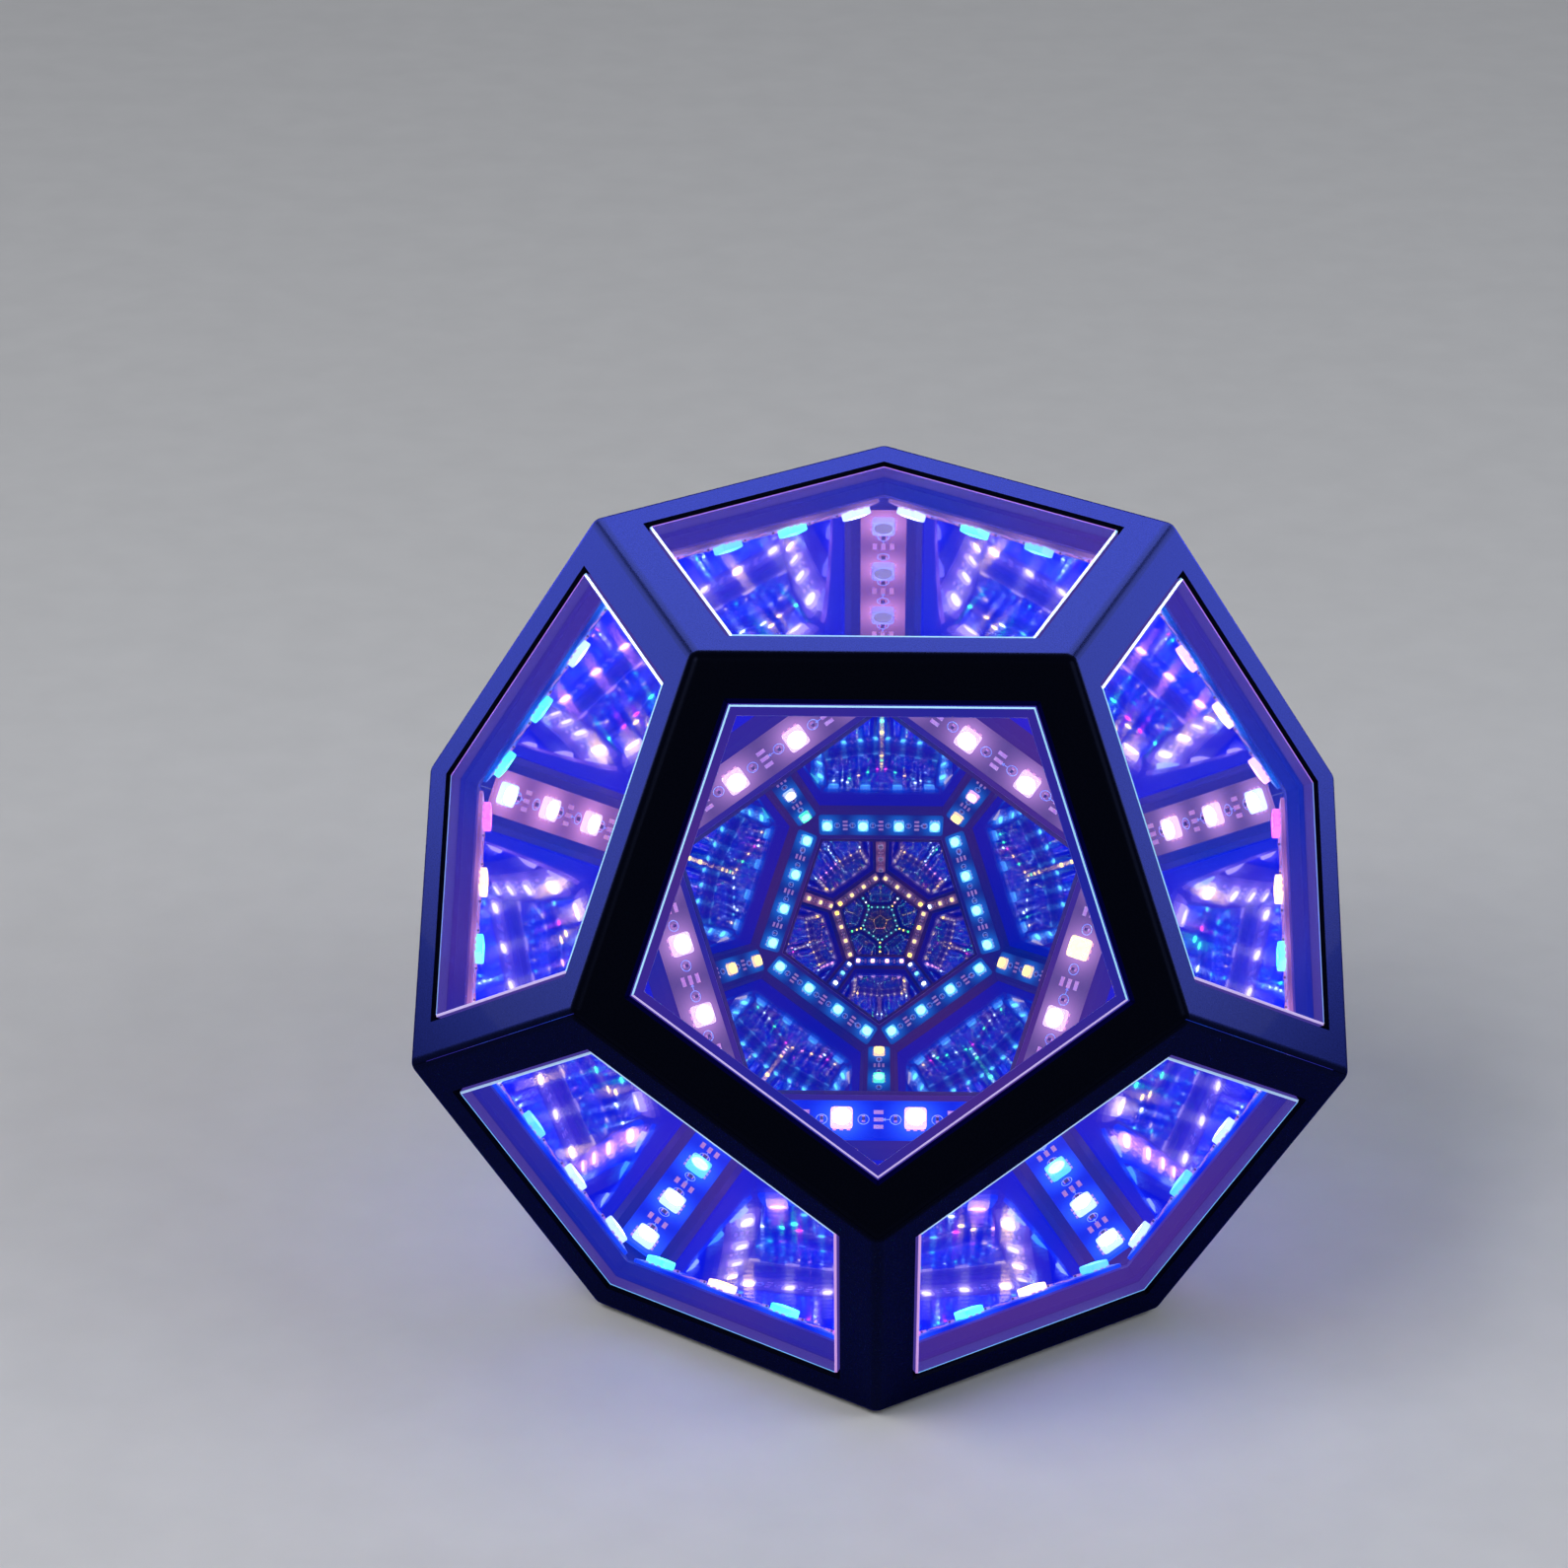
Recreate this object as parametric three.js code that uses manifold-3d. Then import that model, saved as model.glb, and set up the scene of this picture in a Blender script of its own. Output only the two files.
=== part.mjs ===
// Infinity-mirror light in the shape of a regular dodecahedron, standing on one of its twelve faces.
// A black two-part frame carries twelve mirror panels, and an LED strip faces the centre from every edge.
// Units are millimetres, +Z is up, and the origin is on the table under the centre.
import * as THREE from "three";
import { ConvexGeometry } from "three/addons/geometries/ConvexGeometry.js";
import { mergeVertices } from "three/addons/utils/BufferGeometryUtils.js";
import Module from "manifold-3d";

// Driving dimensions. An inset is measured along a face from its sharp edge, and a depth is measured
// straight in from a face, or from an edge towards the centre.
const EDGE = 75;
const RIDGE_RADIUS = 3.1;
const RIDGE_STEPS = 4;
const GAP = 0.3;

const WINDOW_INSET = 9.75;
const LEDGE_INSET = 12;
const LIP_CHAMFER = 0.5;
const RIB_DEPTH = 11.5;
const WINDOW_CUT_DEPTH = 10;

const PANEL_SINK = 0.4;
const PANEL_THICKNESS = 2.5;
const PANEL_CHAMFER = 0.4;

const STRIP_LENGTH = 58;
const STRIP_WIDTH = 10;
const STRIP_THICKNESS = 0.8;
const LED_SIZE = 5;
const LED_HEIGHT = 1.6;
const LED_PITCH = 16.7;
const LEDS_PER_STRIP = 4;

const SEAM_GAP = 0.3;
const PIN_RADIUS = 1.5;
const PIN_REACH = 4;
const PIN_DEPTH = 7;

const FOOT_RADIUS = 3.1;
const FOOT_PROUD = 0.8;
const FOOT_RECESS = 1;
const FOOT_INSET = 5.8;
const FOOT_SIDES = 32;

// The control pocket lies in the rear base rib, behind the lower band of the rear face.
// Its heights are insets up that band, and its depths are straight in from it.
const POCKET = { length: 60, low: 2.7, high: 8.4, wall: 1.6, reach: 20 };
const BOARD = { length: 56, low: 3, thickness: 1, front: 4.2, width: 6 };
const SOCKET = { x: 0, width: 8.9, height: 3.2, depth: 7.3, wall: 0.3, mouthDepth: 6.3 };
const TONGUE = { width: 6.6, height: 0.7, length: 4.6 };
const BUTTON = { x: 18, width: 9, height: 3.2, proud: 0.9, travel: 0.6 };
const FLANGE = { margin: 0.3, thickness: 0.8 };
const SWITCH = { width: 6.4, height: 3, depth: 3.4, nubRadius: 0.8, nubLength: 0.5 };
const LEAD = { x: -18, pitch: 3, radius: 0.5, depth: 7.4, rise: 1, reach: 2.4 };
const CONTROL_HEIGHT = BOARD.low + BOARD.thickness + GAP + SOCKET.height / 2;

// Proportions of the regular dodecahedron.
const GOLDEN = (1 + Math.sqrt(5)) / 2;
const FIFTH = (2 * Math.PI) / 5;
const RING_SMALL = EDGE / (2 * Math.sin(FIFTH / 2));
const RING_LARGE = GOLDEN * RING_SMALL;
const FACE_APOTHEM = RING_SMALL * Math.cos(FIFTH / 2);
const INRADIUS = (RING_SMALL + RING_LARGE) / 2;
const MIDRADIUS = (EDGE * GOLDEN * GOLDEN) / 2;
const RIB_TO_PEAK = Math.sqrt(2 / (1 + 1 / Math.sqrt(5)));
const SEAM_RISE = RING_LARGE - RING_SMALL;
const SEAM_SLOPE = Math.sqrt(EDGE * EDGE - SEAM_RISE * SEAM_RISE) / EDGE;
const CENTRE = new THREE.Vector3(0, 0, FOOT_PROUD + INRADIUS);
const FRONT = -Math.PI / 2;

const MATERIALS = {
  frame: new THREE.MeshStandardMaterial({ color: 0x0c0e13, roughness: 0.32, metalness: 0 }),
  mirror: new THREE.MeshStandardMaterial({ color: 0x1b2cc8, roughness: 0.04, metalness: 0.9 }),
  strip: new THREE.MeshStandardMaterial({ color: 0xd9d4f2, roughness: 0.5, metalness: 0 }),
  rubber: new THREE.MeshStandardMaterial({ color: 0x141414, roughness: 0.85, metalness: 0 }),
  board: new THREE.MeshStandardMaterial({ color: 0x0d3b24, roughness: 0.45, metalness: 0 }),
  steel: new THREE.MeshStandardMaterial({ color: 0xb9bcc2, roughness: 0.28, metalness: 1 }),
  button: new THREE.MeshStandardMaterial({ color: 0x17181c, roughness: 0.55, metalness: 0 }),
  switch: new THREE.MeshStandardMaterial({ color: 0x1e1e20, roughness: 0.6, metalness: 0 }),
  lead: new THREE.MeshStandardMaterial({ color: 0xb01818, roughness: 0.5, metalness: 0 }),
};

const wasm = await Module();
wasm.setup();

const light = new THREE.Group();

// A closed geometry as a solid that can be joined and cut, moved by an optional matrix.
function solid(geometry, matrix) {
  const bare = geometry.clone();
  bare.deleteAttribute("normal");
  bare.deleteAttribute("uv");
  if (matrix) bare.applyMatrix4(matrix);
  const merged = mergeVertices(bare, 1e-4);
  const vertProperties = merged.attributes.position.array;
  const triVerts = new Uint32Array(merged.index.array);
  return new wasm.Manifold(new wasm.Mesh({ numProp: 3, vertProperties, triVerts }));
}

function geometryOf(body) {
  const mesh = body.getMesh();
  const geometry = new THREE.BufferGeometry();
  geometry.setAttribute("position", new THREE.BufferAttribute(mesh.vertProperties, 3));
  geometry.setIndex(new THREE.BufferAttribute(mesh.triVerts, 1));
  const faceted = geometry.toNonIndexed();
  faceted.computeVertexNormals();
  return faceted;
}

function addPiece(name, geometry, material, matrix) {
  const mesh = new THREE.Mesh(geometry, material);
  mesh.name = name;
  if (matrix) mesh.applyMatrix4(matrix);
  light.add(mesh);
}

// Points of a level ring of five, starting at an angle round the Z axis.
function ringOfFive(radius, z, start) {
  const points = [];
  for (let i = 0; i < 5; i++) {
    const angle = start + i * FIFTH;
    points.push(new THREE.Vector3(radius * Math.cos(angle), radius * Math.sin(angle), z));
  }
  return points;
}

function toward(azimuth, elevation) {
  const level = Math.cos(elevation);
  return new THREE.Vector3(level * Math.cos(azimuth), level * Math.sin(azimuth), Math.sin(elevation));
}

// The twenty corners of a sharp dodecahedron about the origin, as four rings from the bottom up.
function cornerRings(scale = 1) {
  const rings = [
    ringOfFive(RING_SMALL, -INRADIUS, FRONT),
    ringOfFive(RING_LARGE, RING_SMALL - INRADIUS, FRONT),
    ringOfFive(RING_LARGE, INRADIUS - RING_SMALL, -FRONT),
    ringOfFive(RING_SMALL, INRADIUS, -FRONT),
  ];
  return rings.map((ring) => ring.map((corner) => corner.multiplyScalar(scale)));
}

const RINGS = cornerRings();
const CORNERS = RINGS.flat();

// The twelve faces: a name and an outward normal each.
function listFaces() {
  const tilt = Math.atan(0.5);
  const upper = ["front", "right", "rear_right", "rear_left", "left"];
  const lower = ["front_right", "right", "rear", "left", "front_left"];
  const faces = [
    { name: "bottom", normal: new THREE.Vector3(0, 0, -1) },
    { name: "top", normal: new THREE.Vector3(0, 0, 1) },
  ];
  upper.forEach((side, i) => {
    faces.push({ name: "upper_" + side, normal: toward(FRONT + i * FIFTH, tilt) });
  });
  lower.forEach((side, i) => {
    faces.push({ name: "lower_" + side, normal: toward(FRONT + (i + 0.5) * FIFTH, -tilt) });
  });
  return faces;
}

const FACES = listFaces();

function basis(x, y, z, origin) {
  return new THREE.Matrix4().makeBasis(x, y, z).setPosition(origin);
}

// A face's own axes: Z out of the face, X from its centre to one of its corners, origin on its plane.
function faceMatrix(normal) {
  const foot = normal.clone().multiplyScalar(INRADIUS);
  const corner = CORNERS.find((c) => Math.abs(c.dot(normal) - INRADIUS) < 0.01);
  const x = corner.clone().sub(foot).normalize();
  const y = normal.clone().cross(x);
  return basis(x, y, normal, foot.add(CENTRE));
}

// An edge's own axes: X along the edge, Z towards the centre, origin at the sharp edge's midpoint.
function edgeMatrix(a, b) {
  const middle = a.clone().add(b).multiplyScalar(0.5);
  const x = b.clone().sub(a).normalize();
  const z = middle.clone().negate().normalize();
  const y = z.clone().cross(x);
  return basis(x, y, z, middle.add(CENTRE));
}

// The thirty edges, named by where they run and numbered round from the front.
function listEdges() {
  const [base, low, high, top] = RINGS;
  const edges = [];
  for (let i = 0; i < 5; i++) {
    const next = (i + 1) % 5;
    const across = (i + 3) % 5;
    edges.push({ name: "base_" + (i + 1), ends: [base[i], base[next]] });
    edges.push({ name: "lower_rib_" + (i + 1), ends: [base[i], low[i]] });
    edges.push({ name: "belt_" + (2 * i + 1), ends: [low[i], high[across]], belt: true });
    edges.push({ name: "belt_" + (2 * i + 2), ends: [high[across], low[next]], belt: true });
    edges.push({ name: "upper_rib_" + (i + 1), ends: [high[i], top[i]] });
    edges.push({ name: "top_" + (i + 1), ends: [top[i], top[next]] });
  }
  return edges;
}

const EDGES = listEdges();

function pentagonRing(inset, z) {
  const radius = (FACE_APOTHEM - inset) / Math.cos(FIFTH / 2);
  return ringOfFive(radius, z, 0);
}

function box(width, height, depth, x, y, z) {
  return new THREE.BoxGeometry(width, height, depth).translate(x, y, z);
}

// A slot outline with round ends, extruded from z = 0 to -depth.
function pill(width, height, depth) {
  const radius = height / 2;
  const half = width / 2 - radius;
  const outline = new THREE.Shape();
  outline.absarc(half, 0, radius, -Math.PI / 2, Math.PI / 2);
  outline.absarc(-half, 0, radius, Math.PI / 2, (3 * Math.PI) / 2);
  const geometry = new THREE.ExtrudeGeometry(outline, { depth, bevelEnabled: false, curveSegments: 8 });
  return geometry.translate(0, 0, -depth);
}

function uprightCylinder(radius, low, high, x, y, sides) {
  const geometry = new THREE.CylinderGeometry(radius, radius, high - low, sides);
  return geometry.rotateX(Math.PI / 2).translate(x, y, (low + high) / 2);
}

// The outer form: a convex body whose ridges and corners are rounded to RIDGE_RADIUS.
function roundedDodecahedron() {
  const core = (INRADIUS - RIDGE_RADIUS) / INRADIUS;
  const points = [];
  for (const corner of CORNERS) {
    const touching = FACES.filter((f) => Math.abs(corner.dot(f.normal) - INRADIUS) < 0.01);
    const [n1, n2, n3] = touching.map((f) => f.normal);
    for (let i = 0; i <= RIDGE_STEPS; i++) {
      for (let j = 0; j <= RIDGE_STEPS - i; j++) {
        const out = n1.clone().multiplyScalar(i);
        out.addScaledVector(n2, j).addScaledVector(n3, RIDGE_STEPS - i - j).normalize();
        points.push(corner.clone().multiplyScalar(core).addScaledVector(out, RIDGE_RADIUS));
      }
    }
  }
  return new ConvexGeometry(points).translate(CENTRE.x, CENTRE.y, CENTRE.z);
}

// The hollow: thirty flats, one across each edge at RIB_DEPTH, which leave the ribs' inner faces.
function innerHollow() {
  const radius = MIDRADIUS - RIB_DEPTH;
  const points = cornerRings(radius / MIDRADIUS).flat();
  const peak = radius * RIB_TO_PEAK;
  FACES.forEach((face) => points.push(face.normal.clone().multiplyScalar(peak)));
  return new ConvexGeometry(points).translate(CENTRE.x, CENTRE.y, CENTRE.z);
}

// The seat of one panel, with a chamfered lip round the window.
function panelSeat() {
  const floor = -(PANEL_SINK + PANEL_THICKNESS + GAP);
  return new ConvexGeometry([
    ...pentagonRing(WINDOW_INSET, floor),
    ...pentagonRing(WINDOW_INSET, -LIP_CHAMFER),
    ...pentagonRing(WINDOW_INSET - 2 * LIP_CHAMFER, LIP_CHAMFER),
  ]);
}

function windowCut() {
  return new ConvexGeometry([
    ...pentagonRing(LEDGE_INSET, -WINDOW_CUT_DEPTH),
    ...pentagonRing(LEDGE_INSET, 1),
  ]);
}

function panelGeometry() {
  const edge = WINDOW_INSET + GAP;
  return new ConvexGeometry([
    ...pentagonRing(edge, -PANEL_SINK - PANEL_THICKNESS),
    ...pentagonRing(edge, -PANEL_SINK - PANEL_CHAMFER),
    ...pentagonRing(edge + PANEL_CHAMFER, -PANEL_SINK),
  ]);
}

// Everything on the seam's upper (side = 1) or lower (side = -1) side. The seam runs along the ten
// zigzag edges and straight in to the centre, so that each frame half keeps six whole faces.
function seamSide(side) {
  const reach = 2;
  const belt = [];
  for (let i = 0; i < 5; i++) {
    belt.push(RINGS[1][i], RINGS[2][(i + 3) % 5]);
  }
  const rim = belt.map((corner) => corner.clone().multiplyScalar(reach));
  const tip = new THREE.Vector3(0, 0, 0);
  const apex = new THREE.Vector3(0, 0, side * 4 * reach * INRADIUS);
  const points = [];
  rim.forEach((here, i) => {
    const next = rim[(i + 1) % rim.length];
    const [first, second] = side > 0 ? [here, next] : [next, here];
    points.push(tip, second, first, apex, first, second);
  });
  const lift = (side * SEAM_GAP) / (2 * SEAM_SLOPE);
  const geometry = new THREE.BufferGeometry().setFromPoints(points);
  return geometry.translate(CENTRE.x, CENTRE.y, CENTRE.z + lift);
}

function pinPlaces() {
  return EDGES.filter((edge) => edge.belt).map((edge) => {
    const middle = edge.ends[0].clone().add(edge.ends[1]).normalize();
    return middle.multiplyScalar(MIDRADIUS - PIN_DEPTH);
  });
}

function footPlaces() {
  const radius = (FACE_APOTHEM - FOOT_INSET) / Math.cos(FIFTH / 2);
  return ringOfFive(radius, 0, FRONT);
}

// Axes of the rear face's lower band: X along the edge, Y up the band, Z out of it.
function bandMatrix() {
  const rear = FACES.find((face) => face.name === "lower_rear").normal;
  const x = new THREE.Vector3(-1, 0, 0);
  const y = rear.clone().cross(x);
  const origin = new THREE.Vector3(0, FACE_APOTHEM, FOOT_PROUD);
  return basis(x, y, rear, origin);
}

const BAND = bandMatrix();

function cutControlOpenings(frame) {
  const height = POCKET.high - POCKET.low;
  const middle = (POCKET.high + POCKET.low) / 2;
  const pocket = box(POCKET.length, height, POCKET.reach, 0, middle, -POCKET.wall - POCKET.reach / 2);
  const holes = [
    { x: SOCKET.x, width: SOCKET.width, height: SOCKET.height },
    { x: BUTTON.x, width: BUTTON.width, height: BUTTON.height },
  ];
  let body = frame.subtract(solid(pocket, BAND));
  for (const hole of holes) {
    const cut = pill(hole.width + 2 * GAP, hole.height + 2 * GAP, POCKET.wall + 2);
    body = body.subtract(solid(cut.translate(hole.x, CONTROL_HEIGHT, 1), BAND));
  }
  return body;
}

function frameBody() {
  let body = solid(roundedDodecahedron()).subtract(solid(innerHollow()));
  for (const face of FACES) {
    const matrix = faceMatrix(face.normal);
    body = body.subtract(solid(panelSeat(), matrix)).subtract(solid(windowCut(), matrix));
  }
  for (const place of footPlaces()) {
    const high = FOOT_PROUD + FOOT_RECESS;
    const recess = uprightCylinder(FOOT_RADIUS + GAP, -1, high, place.x, place.y, FOOT_SIDES);
    body = body.subtract(solid(recess));
  }
  return cutControlOpenings(body);
}

function addFrame() {
  const whole = frameBody();
  let upper = whole.intersect(solid(seamSide(1)));
  let lower = whole.intersect(solid(seamSide(-1)));
  for (const place of pinPlaces()) {
    const low = CENTRE.z - PIN_REACH;
    const high = CENTRE.z + PIN_REACH;
    const pin = uprightCylinder(PIN_RADIUS, low, high, place.x, place.y, 16);
    const hole = uprightCylinder(PIN_RADIUS + GAP, low, high + GAP, place.x, place.y, 16);
    lower = lower.add(solid(pin));
    upper = upper.subtract(solid(hole));
  }
  addPiece("upper_frame", geometryOf(upper), MATERIALS.frame);
  addPiece("lower_frame", geometryOf(lower), MATERIALS.frame);
}

function addPanels() {
  for (const face of FACES) {
    addPiece("mirror_panel_" + face.name, panelGeometry(), MATERIALS.mirror, faceMatrix(face.normal));
  }
}

// One strip in its edge's own axes: a thin board on the rib's flat, with its LED packages on top.
function stripGeometry() {
  const base = RIB_DEPTH + GAP;
  const sunk = 0.2;
  const middle = base + STRIP_THICKNESS / 2;
  let body = solid(box(STRIP_LENGTH, STRIP_WIDTH, STRIP_THICKNESS, 0, 0, middle));
  for (let i = 0; i < LEDS_PER_STRIP; i++) {
    const x = (i - (LEDS_PER_STRIP - 1) / 2) * LED_PITCH;
    const z = base + STRIP_THICKNESS + (LED_HEIGHT - sunk) / 2;
    body = body.add(solid(box(LED_SIZE, LED_SIZE, LED_HEIGHT + sunk, x, 0, z)));
  }
  return geometryOf(body);
}

function addStrips() {
  for (const edge of EDGES) {
    addPiece("led_strip_" + edge.name, stripGeometry(), MATERIALS.strip, edgeMatrix(...edge.ends));
  }
}

function addFeet() {
  footPlaces().forEach((place, i) => {
    const high = FOOT_PROUD + FOOT_RECESS - GAP;
    const pad = uprightCylinder(FOOT_RADIUS, 0, high, place.x, place.y, FOOT_SIDES);
    addPiece("rubber_foot_" + (i + 1), pad, MATERIALS.rubber);
  });
}

function addBoard() {
  const { length, low, thickness, front, width } = BOARD;
  const plate = box(length, thickness, width, 0, low + thickness / 2, -front - width / 2);
  addPiece("control_board", plate, MATERIALS.board, BAND);
}

// The power socket: a round-ended steel tube with a back wall and a contact tongue.
function addSocket() {
  const { x, width, height, depth, wall, mouthDepth } = SOCKET;
  const shell = solid(pill(width, height, depth));
  const mouth = solid(pill(width - 2 * wall, height - 2 * wall, mouthDepth + 1).translate(0, 0, 1));
  const tongue = box(TONGUE.width, TONGUE.height, TONGUE.length, 0, 0, -mouthDepth + TONGUE.length / 2 - 0.2);
  const body = shell.subtract(mouth).add(solid(tongue));
  const place = BAND.clone().multiply(new THREE.Matrix4().makeTranslation(x, CONTROL_HEIGHT, 0));
  addPiece("usb_c_socket", geometryOf(body), MATERIALS.steel, place);
}

// The cap stands proud of the band, and its flange behind the wall keeps it in.
function addButton() {
  const { x, width, height, proud } = BUTTON;
  const flangeFront = -POCKET.wall - GAP;
  const flangeWidth = width + 2 * GAP + 2 * FLANGE.margin;
  const flangeHeight = height + 2 * GAP + 2 * FLANGE.margin;
  const cap = pill(width, height, proud - flangeFront + FLANGE.thickness / 2).translate(0, 0, proud);
  const flange = pill(flangeWidth, flangeHeight, FLANGE.thickness).translate(0, 0, flangeFront);
  const place = BAND.clone().multiply(new THREE.Matrix4().makeTranslation(x, CONTROL_HEIGHT, 0));
  addPiece("mode_button", geometryOf(solid(cap).add(solid(flange))), MATERIALS.button, place);
}

function addSwitch() {
  const { width, height, depth, nubRadius, nubLength } = SWITCH;
  const front = POCKET.wall + GAP + FLANGE.thickness + BUTTON.travel + GAP + nubLength;
  const middle = BOARD.low + BOARD.thickness + GAP + height / 2;
  const housing = box(width, height, depth, BUTTON.x, middle, -front - depth / 2);
  const nub = uprightCylinder(nubRadius, -front - 0.2, -front + nubLength, BUTTON.x, middle, 16);
  addPiece("push_switch", geometryOf(solid(housing).add(solid(nub))), MATERIALS.switch, BAND);
}

// Three short leads from the control board to the back of the rear base strip.
function addLeads() {
  const toCentre = new THREE.Vector3(0, FACE_APOTHEM, -INRADIUS).normalize();
  ["power", "ground", "data"].forEach((use, i) => {
    const x = LEAD.x + (i - 1) * LEAD.pitch;
    const start = new THREE.Vector3(x, BOARD.low + BOARD.thickness + GAP, -LEAD.depth);
    const bend = start.clone().add(new THREE.Vector3(0, LEAD.rise, 0));
    const end = bend.clone().addScaledVector(toCentre, LEAD.reach);
    const path = new THREE.CatmullRomCurve3([start, bend, end]);
    const section = new THREE.Shape().absarc(0, 0, LEAD.radius, 0, 2 * Math.PI);
    const options = { steps: 8, curveSegments: 5, bevelEnabled: false, extrudePath: path };
    addPiece("lead_" + use, new THREE.ExtrudeGeometry(section, options), MATERIALS.lead, BAND);
  });
}

addFrame();
addPanels();
addStrips();
addFeet();
addBoard();
addSocket();
addButton();
addSwitch();
addLeads();

export default light;
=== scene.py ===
import math

import bmesh
import bpy
from mathutils import Matrix, Vector


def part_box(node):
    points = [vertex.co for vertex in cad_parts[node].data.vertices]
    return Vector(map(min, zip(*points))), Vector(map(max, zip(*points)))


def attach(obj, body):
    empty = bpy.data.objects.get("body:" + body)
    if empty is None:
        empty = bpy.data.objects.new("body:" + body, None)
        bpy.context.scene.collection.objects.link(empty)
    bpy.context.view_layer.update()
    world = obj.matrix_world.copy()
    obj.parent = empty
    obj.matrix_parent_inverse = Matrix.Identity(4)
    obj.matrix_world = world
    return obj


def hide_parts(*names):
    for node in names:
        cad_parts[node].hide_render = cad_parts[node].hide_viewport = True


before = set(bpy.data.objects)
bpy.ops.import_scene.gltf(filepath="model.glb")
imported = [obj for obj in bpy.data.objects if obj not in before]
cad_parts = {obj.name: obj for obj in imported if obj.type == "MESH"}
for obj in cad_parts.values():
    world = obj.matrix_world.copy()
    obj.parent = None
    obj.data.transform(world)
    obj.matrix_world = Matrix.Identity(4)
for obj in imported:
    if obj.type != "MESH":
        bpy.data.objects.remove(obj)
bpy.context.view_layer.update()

MM = 0.001

# The dodecahedron, as the CAD part has it.
EDGE = 75 * MM
RIDGE_RADIUS = 3.1 * MM
GAP = 0.3 * MM
WINDOW_INSET = 9.75 * MM
LEDGE_INSET = 12 * MM
LIP_CHAMFER = 0.5 * MM
RIB_DEPTH = 11.5 * MM
WINDOW_CUT_DEPTH = 10 * MM
PANEL_SINK = 0.4 * MM
PANEL_THICKNESS = 2.5 * MM
PANEL_CHAMFER = 0.4 * MM

# Finer than the CAD part's: rounder ridges, and a seam too narrow to show the light inside.
RIDGE_STEPS = 10
SEAM_GAP = 0.1 * MM

# For the mirrors' shading only: the radius of their bulge, and the side films' ripple.
FRONT_BOW = 335 * MM
SIDE_BOW = 210 * MM
RIPPLE_LENGTH = 0.5 * MM
RIPPLE_SLOPE = 0.09
RIPPLE_SHARPNESS = 5.0

# The LED strips, as the CAD part has them.
STRIP_LENGTH = 58 * MM
STRIP_WIDTH = 10 * MM
STRIP_THICKNESS = 0.8 * MM
LED_SIZE = 5 * MM
LED_HEIGHT = 1.6 * MM
LED_PITCH = 16.7 * MM
LEDS_PER_STRIP = 4

# What follows from them.
GOLDEN = (1 + math.sqrt(5)) / 2
FIFTH = math.tau / 5
RING_SMALL = EDGE / (2 * math.sin(FIFTH / 2))
RING_LARGE = GOLDEN * RING_SMALL
FACE_APOTHEM = RING_SMALL * math.cos(FIFTH / 2)
INRADIUS = (RING_SMALL + RING_LARGE) / 2
MIDRADIUS = EDGE * GOLDEN * GOLDEN / 2
RIB_TO_PEAK = math.sqrt(2 / (1 + 1 / math.sqrt(5)))
SEAM_SLOPE = math.sqrt(EDGE * EDGE - (RING_LARGE - RING_SMALL) ** 2) / EDGE
FRONT = -math.pi / 2
SAME_PLANE = 0.01 * MM
FOOT_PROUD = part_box("lower_frame")[0].z
CENTRE = Vector((0, 0, FOOT_PROUD + INRADIUS))

# The camera stands at the photograph's viewing angle.
VIEW_ELEVATION = math.radians(26.3)
VIEW_DISTANCE = 1.122
VIEW_LENS = 121.2
AIM_LEFT = 0.0207
AIM_UP = 0.0285
NEAREST_SEEN = 0.01

# Light paths, long enough for the reflections of reflections.
MAX_BOUNCES = 40
GLOSSY_BOUNCES = 36
TRANSPARENT_BOUNCES = 12


# ---------- the solid's corners, faces and edges ----------

def ring_of_five(radius, z, start):
    angles = [start + i * FIFTH for i in range(5)]
    return [Vector((radius * math.cos(a), radius * math.sin(a), z)) for a in angles]


def corner_rings(scale=1.0):
    rings = [
        ring_of_five(RING_SMALL, -INRADIUS, FRONT),
        ring_of_five(RING_LARGE, RING_SMALL - INRADIUS, FRONT),
        ring_of_five(RING_LARGE, INRADIUS - RING_SMALL, -FRONT),
        ring_of_five(RING_SMALL, INRADIUS, -FRONT),
    ]
    return [[corner * scale for corner in ring] for ring in rings]


RINGS = corner_rings()
CORNERS = [corner for ring in RINGS for corner in ring]


def toward(azimuth, elevation):
    level = math.cos(elevation)
    return Vector((level * math.cos(azimuth), level * math.sin(azimuth), math.sin(elevation)))


def list_faces():
    tilt = math.atan(0.5)
    upper = ["front", "right", "rear_right", "rear_left", "left"]
    lower = ["front_right", "right", "rear", "left", "front_left"]
    faces = {"bottom": Vector((0, 0, -1)), "top": Vector((0, 0, 1))}
    for i, side in enumerate(upper):
        faces["upper_" + side] = toward(FRONT + i * FIFTH, tilt)
    for i, side in enumerate(lower):
        faces["lower_" + side] = toward(FRONT + (i + 0.5) * FIFTH, -tilt)
    return faces


def list_edges():
    base, low, high, top = RINGS
    edges = {}
    for i in range(5):
        after = (i + 1) % 5
        across = (i + 3) % 5
        edges[f"base_{i + 1}"] = (base[i], base[after])
        edges[f"lower_rib_{i + 1}"] = (base[i], low[i])
        edges[f"belt_{2 * i + 1}"] = (low[i], high[across])
        edges[f"belt_{2 * i + 2}"] = (high[across], low[after])
        edges[f"upper_rib_{i + 1}"] = (high[i], top[i])
        edges[f"top_{i + 1}"] = (top[i], top[after])
    return edges


FACES = list_faces()
EDGES = list_edges()


def axes_matrix(x, y, z, origin):
    matrix = Matrix((x, y, z)).transposed().to_4x4()
    matrix.translation = origin
    return matrix


def on_face(corner, normal):
    return abs(corner.dot(normal) - INRADIUS) < SAME_PLANE


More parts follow.
